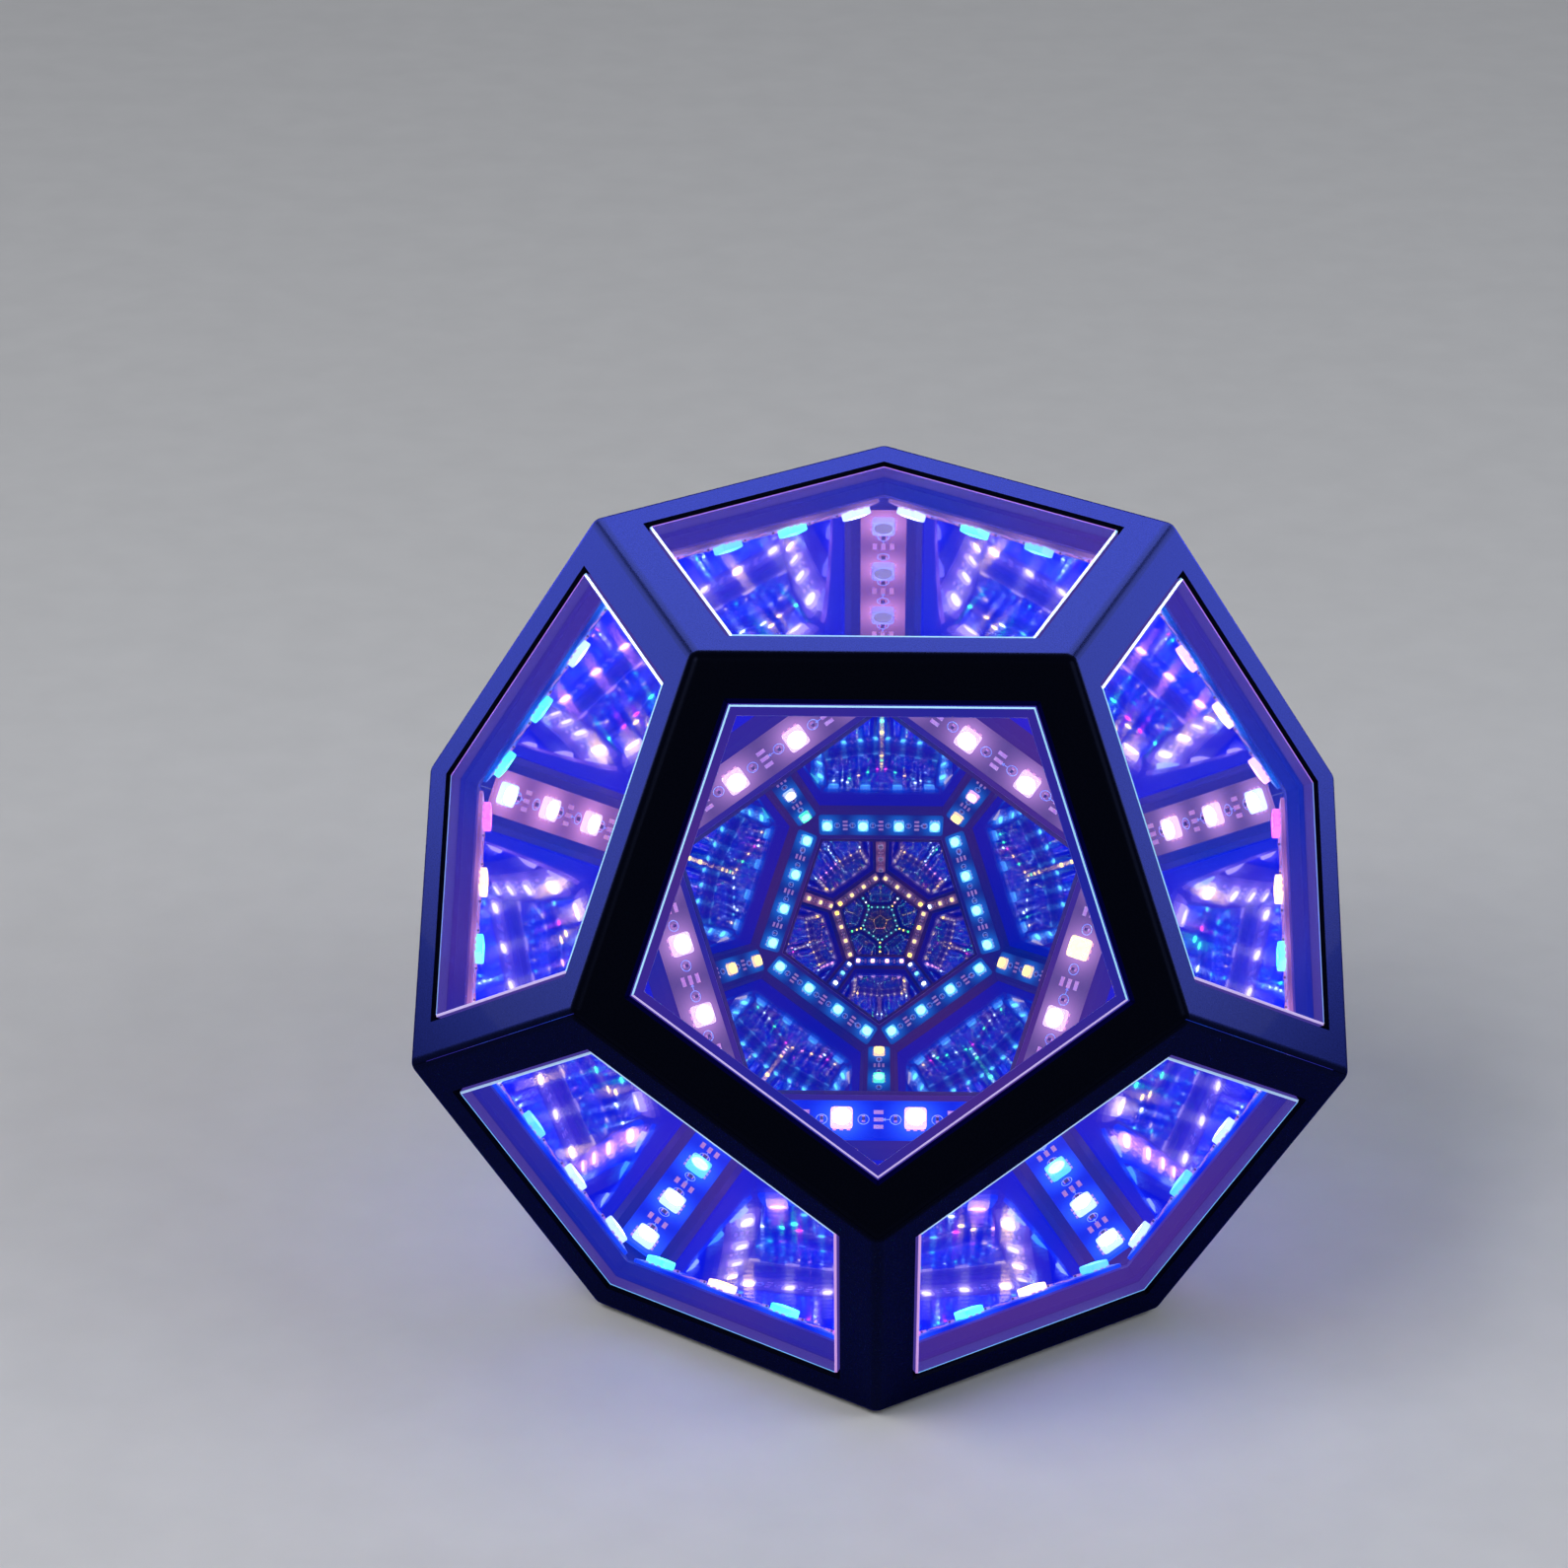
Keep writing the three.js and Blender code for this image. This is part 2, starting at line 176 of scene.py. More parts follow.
def face_matrix(normal):
    foot = normal * INRADIUS
    corner = next(c for c in CORNERS if on_face(c, normal))
    x = (corner - foot).normalized()
    return axes_matrix(x, normal.cross(x), normal, foot + CENTRE)


def edge_matrix(a, b):
    middle = (a + b) / 2
    x = (b - a).normalized()
    z = -middle.normalized()
    return axes_matrix(x, z.cross(x), z, middle + CENTRE)


# ---------- mesh helpers ----------

def new_object(name, mesh, materials=(), matrix=None):
    """An object at the origin. Where matrix places its mesh, "plan" keeps each point as it was drawn."""
    piece = bpy.data.objects.new(name, mesh)
    bpy.context.scene.collection.objects.link(piece)
    for material in materials:
        mesh.materials.append(material)
    if matrix is not None:
        plan = mesh.attributes.new("plan", "FLOAT_VECTOR", "POINT")
        for vertex, drawn in zip(mesh.vertices, plan.data):
            drawn.vector = vertex.co
        mesh.transform(matrix)
    return piece


def hull_object(name, points):
    mesh = bpy.data.meshes.new(name)
    build = bmesh.new()
    for point in points:
        build.verts.new(point)
    found = bmesh.ops.convex_hull(build, input=build.verts)
    spare = found["geom_interior"] + found["geom_unused"]
    loose = {item for item in spare if isinstance(item, bmesh.types.BMVert)}
    bmesh.ops.delete(build, geom=list(loose), context="VERTS")
    bmesh.ops.recalc_face_normals(build, faces=build.faces)
    build.to_mesh(mesh)
    build.free()
    return new_object(name, mesh)


def cut(body, tool, operation="DIFFERENCE"):
    modifier = body.modifiers.new("cut", "BOOLEAN")
    modifier.operation = operation
    modifier.solver = "MANIFOLD"
    modifier.object = tool


def apply_modifiers(piece):
    bpy.context.view_layer.update()
    evaluated = piece.evaluated_get(bpy.context.evaluated_depsgraph_get())
    mesh = bpy.data.meshes.new_from_object(evaluated)
    piece.modifiers.clear()
    piece.data = mesh


def loft(build, rings, material_index, smooth=True):
    """Joins rings of equal length, each a list of points, with quads."""
    made = [[build.verts.new(p) for p in ring] for ring in rings]
    count = len(made[0])
    for low, high in zip(made, made[1:]):
        for i in range(count):
            j = (i + 1) % count
            face = build.faces.new((low[i], low[j], high[j], high[i]))
            face.material_index = material_index
            face.smooth = smooth
    return made


def cap(build, ring, material_index, smooth=False):
    face = build.faces.new(ring)
    face.material_index = material_index
    face.smooth = smooth


def slab(build, x0, x1, y0, y1, z0, z1, material_index):
    """A closed box, added to the mesh being built."""
    low = [(x0, y0, z0), (x1, y0, z0), (x1, y1, z0), (x0, y1, z0)]
    high = [(x, y, z1) for x, y, _ in low]
    rings = loft(build, [low, high], material_index, smooth=False)
    cap(build, rings[1], material_index)
    cap(build, list(reversed(rings[0])), material_index)


# ---------- material helpers ----------

GRAIN_DEPTH = 0.02 * MM
# A tone or number changes over this part of its factor, which holds most of a noise's values.
SPAN = (0.3, 0.7)


class Shader:
    """A material being built: nodes are added with their plain inputs, and sockets are linked."""

    def __init__(self, name):
        self.material = bpy.data.materials.new(name)
        self.material.use_nodes = True
        self.tree = self.material.node_tree
        self.tree.nodes.clear()
        self.out = self.add("ShaderNodeOutputMaterial")

    def add(self, kind, inputs=None, **settings):
        node = self.tree.nodes.new(kind)
        for name, value in settings.items():
            setattr(node, name, value)
        for key, value in (inputs or {}).items():
            self.put(node.inputs[key], value)
        return node

    def put(self, socket, value):
        if isinstance(value, bpy.types.NodeSocket):
            self.tree.links.new(value, socket)
        else:
            socket.default_value = value

    def math(self, operation, a, b=0.0, c=0.0):
        return self.add("ShaderNodeMath", {0: a, 1: b, 2: c}, operation=operation).outputs[0]

    def finish(self, surface):
        self.tree.links.new(surface, self.out.inputs["Surface"])
        return self.material


def moulded_bump(shader, scale, strength):
    """Fine surface grain: its noise, from 0 to 1, and the normal that it gives."""
    coordinates = shader.add("ShaderNodeTexCoord").outputs["Object"]
    noise = shader.add("ShaderNodeTexNoise", {"Vector": coordinates, "Scale": scale, "Detail": 4.0})
    grain = {"Height": noise.outputs[0], "Strength": strength, "Distance": GRAIN_DEPTH}
    bump = shader.add("ShaderNodeBump", grain)
    return noise.outputs[0], bump.outputs[0]


def varied(shader, factor, low, high):
    """A number that runs from low to high with a factor."""
    span = {"Value": factor, "From Min": SPAN[0], "From Max": SPAN[1], "To Min": low, "To Max": high}
    return shader.add("ShaderNodeMapRange", span).outputs[0]


def two_tone(shader, factor, first, second):
    """A colour that runs from first to second with a factor."""
    ramp = shader.add("ShaderNodeValToRGB", {"Fac": factor})
    for element, position, tone in zip(ramp.color_ramp.elements, SPAN, (first, second)):
        element.position = position
        element.color = (*tone, 1)
    return ramp.outputs[0]


def moulded(name, first, second, rough, scale, bump, metallic=0.0):
    """Moulded plastic, rubber or metal: two close tones, varied gloss and a fine surface grain."""
    shader = Shader(name)
    noise, normal = moulded_bump(shader, scale, bump)
    surface = shader.add("ShaderNodeBsdfPrincipled", {
        "Base Color": two_tone(shader, noise, first, second),
        "Roughness": varied(shader, noise, *rough),
        "Metallic": metallic,
        "Normal": normal,
    })
    return shader.finish(surface.outputs[0])


def add_emission(shader, surface, colour, strength):
    glow = shader.add("ShaderNodeEmission", {"Color": colour, "Strength": strength})
    return shader.add("ShaderNodeAddShader", {0: surface, 1: glow.outputs[0]}).outputs[0]


# How strong the painted light is on each surface: the strips' light on the frame's ribs and ledges, the
# panel rims, the boards and the LED packages, and the blue glow on the mirrors.
RIB_PAINTED_GLOW = 0.28
LEDGE_PAINTED_GLOW = 0.36
FRONT_PAINTED_GLOW = 0.03
SIDE_PAINTED_GLOW = 0.4
PANEL_EDGE_PAINTED_GLOW = 0.5
BOARD_PAINTED_POOL = 0.6
BOARD_PAINTED_AMBIENT = 0.4
PACKAGE_PAINTED_HALO = 0.8
PAINTED_POOL_REACH = 5 * MM


def depth_below_faces(shader):
    """How far a point of the frame lies under the nearest face plane, in metres."""
    position = shader.add("ShaderNodeTexCoord").outputs["Object"]
    offset = shader.add("ShaderNodeVectorMath", {0: position, 1: CENTRE}, operation="SUBTRACT").outputs[0]
    furthest = None
    for name, normal in FACES.items():
        if name != "top" and not name.startswith("upper_"):
            continue
        along = shader.add("ShaderNodeVectorMath", {0: offset, 1: normal}, operation="DOT_PRODUCT")
        reach = shader.math("ABSOLUTE", along.outputs["Value"])
        furthest = reach if furthest is None else shader.math("MAXIMUM", furthest, reach)
    return shader.math("SUBTRACT", INRADIUS, furthest)


def frame_material():
    """Black plastic; a violet coat tint paints a blue sheen on it. Inside, the strips' light is painted on
    the ribs.
    """
    shader = Shader("black_frame_plastic")
    noise, normal = moulded_bump(shader, scale=2600, strength=0.05)
    outside = shader.add("ShaderNodeBsdfPrincipled", {
        "Base Color": two_tone(shader, noise, (0.0020, 0.0025, 0.0032), (0.0025, 0.0031, 0.0040)),
        "Roughness": varied(shader, noise, 0.24, 0.3),
        "Specular IOR Level": 0.05,
        "Coat Weight": 1.0,
        "Coat IOR": 1.01,
        # The violet coat tint paints a blue sheen into the frame's reflections.
        "Coat Tint": (0.37, 0.44, 1.0, 1),
        "Normal": normal,
    })
    # Inside the chamber the strips' light is painted on the frame: a glow from blue to purple, a little
    # stronger on the ledges by the windows.
    coordinates = shader.add("ShaderNodeTexCoord").outputs["Object"]
    cloud = {"Vector": coordinates, "Scale": 14.0, "Detail": 1.0}
    painted_light_spread = shader.add("ShaderNodeTexNoise", cloud).outputs[0]
    painted_light_tint = two_tone(shader, painted_light_spread, (0.0, 0.05, 0.95), (0.2, 0.07, 0.62))
    lit = shader.add("ShaderNodeBsdfPrincipled", {
        "Base Color": (0.008, 0.006, 0.04, 1),
        "Roughness": 0.4,
        "Specular IOR Level": 0.1,
        "Normal": normal,
    })
    depth = depth_below_faces(shader)
    painted_glow_level = shader.add("ShaderNodeMapRange", {
        "Value": depth,
        "From Min": WINDOW_CUT_DEPTH + 0.3 * MM,
        "From Max": WINDOW_CUT_DEPTH - 0.2 * MM,
        "To Min": RIB_PAINTED_GLOW,
        "To Max": LEDGE_PAINTED_GLOW,
    }).outputs[0]
    inside = add_emission(shader, lit.outputs[0], painted_light_tint, painted_glow_level)
    # Below the panel seats the frame shows this painted light instead of the black plastic.
    seat_depth = PANEL_SINK + PANEL_THICKNESS
    deep = shader.add("ShaderNodeMapRange", {
        "Value": depth,
        "From Min": seat_depth,
        "From Max": seat_depth + 0.25 * MM,
    }).outputs[0]
    mixed = shader.add("ShaderNodeMixShader", {0: deep, 1: outside.outputs[0], 2: inside})
    return shader.finish(mixed.outputs[0])


def film_axis(shader, inward):
    """The way a panel's film is drawn out: the front window's axis, flattened into the panel."""
    axis = FACES["upper_front"]
    out = shader.add("ShaderNodeVectorMath", {0: axis, 1: inward}, operation="PROJECT").outputs[0]
    return shader.add("ShaderNodeVectorMath", {0: axis, 1: out}, operation="SUBTRACT").outputs[0]


def mirror_normal(shader, inward, along, drawn):
    """
    The films bulge into the chamber, so each reflection shrinks. The side films also have a fine
    ripple that stretches the reflections of the LEDs.
    """
    position = shader.add("ShaderNodeNewGeometry").outputs["Position"]
    offset = shader.add("ShaderNodeVectorMath", {0: position, 1: CENTRE}, operation="SUBTRACT").outputs[0]
    depth = INRADIUS - PANEL_SINK - PANEL_THICKNESS
    bulge = shader.math("MULTIPLY_ADD", drawn, 1 / SIDE_BOW - 1 / FRONT_BOW, 1 / FRONT_BOW)
    level = shader.math("MULTIPLY_ADD", bulge, depth, 1.0)
    bow = shader.add("ShaderNodeVectorMath", {0: offset, "Scale": bulge}, operation="SCALE").outputs[0]
    base = shader.add("ShaderNodeVectorMath", {0: inward, "Scale": level}, operation="SCALE").outputs[0]
    bowed = shader.add("ShaderNodeVectorMath", {0: base, 1: bow}, operation="ADD").outputs[0]
    across = shader.add("ShaderNodeVectorMath", {0: offset, 1: along}, operation="DOT_PRODUCT")
    wave = shader.math("PINGPONG", across.outputs["Value"], RIPPLE_LENGTH / 2)
    swing = shader.math("MULTIPLY_ADD", wave, 4 / RIPPLE_LENGTH, -1.0)
    slope = shader.math("MULTIPLY", shader.math("POWER", swing, RIPPLE_SHARPNESS), RIPPLE_SLOPE)
    ripple = shader.add("ShaderNodeVectorMath", {0: along, "Scale": slope}, operation="SCALE").outputs[0]
    total = shader.add("ShaderNodeVectorMath", {0: bowed, 1: ripple}, operation="ADD").outputs[0]
    return shader.add("ShaderNodeVectorMath", {0: total}, operation="NORMALIZE").outputs[0]


def mirror_material():
    """
    The panel's coated inner face: from inside the chamber, a mirror with a blue glow painted on it; clear
    from outside it. The factor "drawn" is 0 on the front and rear panels and 0.89 on the others.
    """
    shader = Shader("mirror_coating")
    inward = shader.add("ShaderNodeNewGeometry").outputs["Normal"]
    along = film_axis(shader, inward)
    drawn = shader.add("ShaderNodeVectorMath", {0: along}, operation="LENGTH").outputs["Value"]
    mirror = shader.add("ShaderNodeBsdfGlossy", {
        "Color": two_tone(shader, drawn, (0.65, 0.63, 0.56), (0.48, 0.54, 0.78)),
        "Roughness": 0.0,
        "Normal": mirror_normal(shader, inward, along, drawn),
    })
    # The blue glow painted on the mirrors: faint on the front and rear ones, strong on the others.
    strength = shader.math("MULTIPLY_ADD", drawn, SIDE_PAINTED_GLOW, FRONT_PAINTED_GLOW)
    painted_glow = add_emission(shader, mirror.outputs[0], (0.002, 0.012, 1.0, 1), strength)
    clear = shader.add("ShaderNodeBsdfTransparent", {"Color": (0.97, 0.98, 1, 1)})
    behind = shader.add("ShaderNodeNewGeometry").outputs["Backfacing"]
    mixed = shader.add("ShaderNodeMixShader", {0: behind, 1: painted_glow, 2: clear.outputs[0]})
    return shader.finish(mixed.outputs[0])


def pane_material():
    """The panel's clear outer face, with a faint polish reflection whose blue tint is painted light."""
    shader = Shader("clear_acrylic")
    # The blue tint of the polish reflection is painted.
    painted_blue_polish = shader.add("ShaderNodeBsdfGlossy", {"Color": (0.07, 0.12, 1, 1), "Roughness": 0.04})
    clear = shader.add("ShaderNodeBsdfTransparent", {"Color": (0.98, 0.985, 1, 1)})
    edgeward = shader.add("ShaderNodeFresnel", {"IOR": 1.03}).outputs[0]
    mixed = shader.add("ShaderNodeMixShader", {0: edgeward, 1: clear.outputs[0], 2: painted_blue_polish.outputs[0]})
    return shader.finish(mixed.outputs[0])


def panel_edge_material():
    """The polished rim of a panel, with the chamber's light painted on it: cool above, pink below."""
    shader = Shader("panel_edge_painted_glow")
    # The rim's glow is painted light: pink on rims that face down, cool blue on rims that face up.
    normal = shader.add("ShaderNodeNewGeometry").outputs["Normal"]
    up = shader.add("ShaderNodeSeparateXYZ", {0: normal}).outputs["Z"]
    factor = shader.math("MULTIPLY_ADD", up, 0.5, 0.5)
    painted_light_tint = two_tone(shader, factor, (0.85, 0.28, 0.9), (0.2, 0.75, 1.0))
    surface = shader.add("ShaderNodeBsdfPrincipled", {
        "Base Color": (0.5, 0.6, 0.9, 1),
        "Roughness": 0.1,
    })
    return shader.finish(add_emission(shader, surface.outputs[0], painted_light_tint, PANEL_EDGE_PAINTED_GLOW))


def emitter_material(name, colour):
    """An LED's glowing core, a tenth brighter or dimmer from grain to grain."""
    shader = Shader(name)
    coordinates = shader.add("ShaderNodeTexCoord").outputs["Object"]
    grain = shader.add("ShaderNodeTexNoise", {"Vector": coordinates, "Scale": 900.0}).outputs[0]
    glow = shader.add("ShaderNodeEmission", {
        "Color": (*colour, 1),
        "Strength": varied(shader, grain, 0.9, 1.1),
    })
    return shader.finish(glow.outputs[0])


def painted_pool_mask(shader):
    """The mask of a painted pool of light round each LED of a strip, from 1 on the package to 0 between
    packages.
    """
    plan = shader.add("ShaderNodeAttribute", attribute_name="plan").outputs["Vector"]
    axes = shader.add("ShaderNodeSeparateXYZ", {0: plan}).outputs
    shifted = shader.math("ADD", axes["X"], LED_PITCH / 2)
    along = shader.math("WRAP", shifted, LED_PITCH / 2, -LED_PITCH / 2)
    squares = shader.math("ADD", shader.math("POWER", along, 2.0), shader.math("POWER", axes["Y"], 2.0))
    return shader.math("EXPONENT", shader.math("DIVIDE", squares, -PAINTED_POOL_REACH * PAINTED_POOL_REACH))


def board_material(name, painted_pool_colour, painted_ambient):
    """A strip's board. Its own colour is dark; soft pools of its LEDs' light and a glow between them are
    painted on it.
    """
    shader = Shader(name)
    noise, normal = moulded_bump(shader, scale=1500, strength=0.1)
    surface = shader.add("ShaderNodeBsdfPrincipled", {
        "Base Color": two_tone(shader, noise, (0.02, 0.015, 0.05), (0.03, 0.02, 0.07)),
        "Roughness": varied(shader, noise, 0.35, 0.5),
        "Specular IOR Level": 0.15,
        "Normal": normal,
    })
    # A pool of LED light and a glow between the pools are painted on the board.
    painted_pool = shader.math("MULTIPLY", painted_pool_mask(shader), BOARD_PAINTED_POOL)
    lit = add_emission(shader, surface.outputs[0], (*painted_pool_colour, 1), painted_pool)
    return shader.finish(add_emission(shader, lit, (*painted_ambient, 1), BOARD_PAINTED_AMBIENT))


def package_material(name, colour):
    """An LED's white package, with the halo of its core painted on it."""
    shader = Shader(name)
    noise, normal = moulded_bump(shader, scale=3000, strength=0.1)
    surface = shader.add("ShaderNodeBsdfPrincipled", {
        "Base Color": two_tone(shader, noise, (0.8, 0.8, 0.85), (0.88, 0.88, 0.92)),
        "Roughness": 0.4,
        "Normal": normal,
    })
    return shader.finish(add_emission(shader, surface.outputs[0], (*colour, 1), PACKAGE_PAINTED_HALO))


def painted_light_detail(name, base, glow, strength, metallic=0.0):
    """A small surface inside the chamber, with a little of the strips' light painted on it as a glow."""
    shader = Shader(name)
    noise, normal = moulded_bump(shader, scale=4000, strength=0.15)
    surface = shader.add("ShaderNodeBsdfPrincipled", {
        "Base Color": two_tone(shader, noise, base, tuple(c * 1.15 for c in base)),
        "Roughness": varied(shader, noise, 0.25, 0.4),
        "Metallic": metallic,
        "Normal": normal,
    })
    return shader.finish(add_emission(shader, surface.outputs[0], (*glow, 1), strength))


# ---------- the frame's two halves ----------

# The sharp core that the ridges are rounded on, as a share of the whole solid.
CORE = (INRADIUS - RIDGE_RADIUS) / INRADIUS
CUT_CLEARANCE = 1 * MM
SEAM_REACH = 2
WELD_DISTANCE = 0.002 * MM
FLAT_ANGLE = math.radians(0.3)
SHARP_ANGLE = math.radians(25)
FACE_WEIGHT = 100

def rounded_points():
    """The outer shape: a round cap on every corner, whose hull has round ridges and flat faces."""
    points = []
    for corner in CORNERS:
        n1, n2, n3 = [n for n in FACES.values() if on_face(corner, n)]
        for i in range(RIDGE_STEPS + 1):
            for j in range(RIDGE_STEPS + 1 - i):
                k = RIDGE_STEPS - i - j
                out = (n1 * i + n2 * j + n3 * k).normalized()
                points.append(CENTRE + corner * CORE + out * RIDGE_RADIUS)
    return points


def hollow_points():
    """The chamber, with a flat rib along each edge and a peak behind each face."""
    radius = MIDRADIUS - RIB_DEPTH
    corners = [c for ring in corner_rings(radius / MIDRADIUS) for c in ring]
    peaks = [normal * radius * RIB_TO_PEAK for normal in FACES.values()]
    return [CENTRE + point for point in corners + peaks]


def pentagon_ring(inset, z):
    return ring_of_five((FACE_APOTHEM - inset) / math.cos(FIFTH / 2), z, 0)


def seat_points():
    return [
        *pentagon_ring(WINDOW_INSET, -(PANEL_SINK + PANEL_THICKNESS + GAP)),
        *pentagon_ring(WINDOW_INSET, -LIP_CHAMFER),
        *pentagon_ring(WINDOW_INSET - 2 * LIP_CHAMFER, LIP_CHAMFER),
    ]


def window_points():
    return pentagon_ring(LEDGE_INSET, -WINDOW_CUT_DEPTH) + pentagon_ring(LEDGE_INSET, CUT_CLEARANCE)


def seam_tool(side):
    """Everything above (side = 1) or below (side = -1) the zigzag seam."""
    belt = []
    for i in range(5):
        belt += [RINGS[1][i], RINGS[2][(i + 3) % 5]]
    lift = Vector((0, 0, side * SEAM_GAP / (2 * SEAM_SLOPE)))
    build = bmesh.new()
    tip = build.verts.new(CENTRE + lift)
    apex = build.verts.new(CENTRE + Vector((0, 0, side * 4 * SEAM_REACH * INRADIUS)))
    rim = [build.verts.new(CENTRE + lift + corner * SEAM_REACH) for corner in belt]
    for here, after in zip(rim, rim[1:] + rim[:1]):
        build.faces.new((tip, after, here))
        build.faces.new((apex, here, after))
    bmesh.ops.recalc_face_normals(build, faces=build.faces)
    mesh = bpy.data.meshes.new("seam_tool")
    build.to_mesh(mesh)
    build.free()
    return new_object("seam_tool", mesh)


def detach(obj):
    bpy.data.objects.remove(obj)


def build_frame(material):
    tools = [hull_object("hollow_tool", hollow_points())]
    for normal in FACES.values():
        for points in (seat_points(), window_points()):
            tool = hull_object("window_tool", points)
            tool.data.transform(face_matrix(normal))
            tools.append(tool)
    for node, side in (("upper_frame", 1), ("lower_frame", -1)):
        shell = hull_object(node + "_shell", rounded_points())
        for tool in tools:
            cut(shell, tool)
        half = seam_tool(side)
        cut(shell, half, "INTERSECT")
        extra = cut_details(shell) if side < 0 else []
        apply_modifiers(shell)
        for tool in [half, *extra]:
            detach(tool)
        finish_shell(shell, material)
        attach(shell, "lamp")
        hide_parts(node)
    for tool in tools:
        detach(tool)


def finish_shell(shell, material):
    """Flat faces stay flat, and ridges between them are smooth."""
    shell.data.materials.clear()
    shell.data.materials.append(material)
    build = bmesh.new()
    build.from_mesh(shell.data)
    bmesh.ops.remove_doubles(build, verts=build.verts, dist=WELD_DISTANCE)
    bmesh.ops.dissolve_limit(build, angle_limit=FLAT_ANGLE, verts=build.verts, edges=build.edges)
    for face in build.faces:
        face.smooth = True
        face.material_index = 0
    for edge in build.edges:
        edge.smooth = edge.is_manifold and edge.calc_face_angle(0) < SHARP_ANGLE
    build.to_mesh(shell.data)
    build.free()
    modifier = shell.modifiers.new("flat_faces", "WEIGHTED_NORMAL")
    modifier.keep_sharp = True
    modifier.weight = FACE_WEIGHT


def band_matrix():
    """Axes of the rear face's lower band: X along the edge, Y up the band, Z out of it."""
    rear = FACES["lower_rear"]
    x = Vector((-1, 0, 0))
    return axes_matrix(x, rear.cross(x), rear, Vector((0, FACE_APOTHEM, FOOT_PROUD)))


BAND = band_matrix()
SLOT_HEIGHT = 3.2 * MM
SLOT_WIDTHS = {"usb_c_socket": 8.9 * MM, "mode_button": 9 * MM}
BAND_WALL = 1.6 * MM
POCKET_BOTTOM = 2.7 * MM
POCKET_TOP = 8.4 * MM
POCKET_HALF = 30 * MM
POCKET_REACH = 20 * MM
FOOT_SIDES = 48


def pill_ring(width, height, z, steps=12):
    radius = height / 2
    half = width / 2 - radius
    points = []
    for side, start in ((1, -math.pi / 2), (-1, math.pi / 2)):
        for i in range(steps + 1):
            angle = start + math.pi * i / steps
            points.append(Vector((side * half + radius * math.cos(angle), radius * math.sin(angle), z)))
    return points


def in_band(node):
    """The middle of a CAD node in the rear band's axes."""
    low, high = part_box(node)
    return BAND.inverted() @ ((low + high) / 2)


def foot_tools():
    """A round recess for each rubber foot."""
    tools = []
    lift = Vector((0, 0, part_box("rubber_foot_1")[1].z + GAP))
    for i in range(5):
        low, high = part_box(f"rubber_foot_{i + 1}")
        middle = (low + high) / 2
        radius = (high.x - low.x) / 2 + GAP
        middle.z = 0
        angles = (math.tau * k / FOOT_SIDES for k in range(FOOT_SIDES))
        ring = [middle + Vector((radius * math.cos(a), radius * math.sin(a), 0)) for a in angles]
        tools.append(hull_object("foot_tool", [p - lift for p in ring] + [p + lift for p in ring]))
    return tools


def pocket_tool():
    """The control pocket behind the rear band's wall."""
    points = []
    for x in (-POCKET_HALF, POCKET_HALF):
        for y in (POCKET_BOTTOM, POCKET_TOP):
            for z in (-BAND_WALL, -BAND_WALL - POCKET_REACH):
                points.append(Vector((x, y, z)))
    tool = hull_object("pocket_tool", points)
    tool.data.transform(BAND)
    return tool


def slot_tool(node, width):
    """An oblong slot through the rear band's wall, for the socket or the button."""
    size = (width + 2 * GAP, SLOT_HEIGHT + 2 * GAP)
    points = pill_ring(*size, CUT_CLEARANCE) + pill_ring(*size, -BAND_WALL - CUT_CLEARANCE)
    tool = hull_object("slot_tool", points)
    place = Vector((in_band(node).x, in_band("usb_c_socket").y, 0))
    tool.data.transform(BAND @ Matrix.Translation(place))
    return tool


def cut_details(shell):
    """The foot recesses, the control pocket and the two slots in the rear band."""
    slots = [slot_tool(node, width) for node, width in SLOT_WIDTHS.items()]
    tools = [*foot_tools(), pocket_tool(), *slots]
    for tool in tools:
        cut(shell, tool)
    return tools


# ---------- the mirror panels ----------

MIRROR, RIM, PANE, SIDE = range(4)


def panel_mesh(name):
    """A flat plate with a chamfered rim. Its face towards the chamber is the mirror."""
    build = bmesh.new()
    edge = WINDOW_INSET + GAP
    rings = loft(build, [
        pentagon_ring(edge, -PANEL_SINK - PANEL_THICKNESS),
        pentagon_ring(edge, -PANEL_SINK - PANEL_CHAMFER),
        pentagon_ring(edge + PANEL_CHAMFER, -PANEL_SINK),
    ], RIM, smooth=False)
    for face in list(build.faces)[:5]:
        face.material_index = SIDE
    cap(build, rings[2], PANE)
    cap(build, list(reversed(rings[0])), MIRROR)
    mesh = bpy.data.meshes.new(name)
    build.to_mesh(mesh)
    build.free()
    return mesh


def build_panels():
    mirror, rim, pane = mirror_material(), panel_edge_material(), pane_material()
    # The panel's sides have the chamber's blue light painted on them.
    side = painted_light_detail("panel_side_painted_light", (0.01, 0.01, 0.04), glow=(0.16, 0.10, 0.75), strength=0.35)
    paints = (mirror, rim, pane, side)
    for name, normal in FACES.items():
        panel = new_object("window_" + name, panel_mesh("window_" + name), paints, face_matrix(normal))
        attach(panel, "lamp")
        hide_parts("mirror_panel_" + name)


# ---------- the LED strips ----------

BOARD, COPPER, INK, CHIP, LEDS = range(5)
BOARD_TOP = RIB_DEPTH + GAP + STRIP_THICKNESS
LED_TOP = BOARD_TOP + LED_HEIGHT
ROUND_SIDES = 32
RING_SIDES = 24
CORNER_CUT = 0.3 * MM
PACKAGE_BEVEL = 0.18 * MM
WELL_RADIUS = 2.25 * MM
WELL_FLOOR_RADIUS = 2.05 * MM
WELL_DEPTH = 0.35 * MM
DOME_GAP = 0.02 * MM
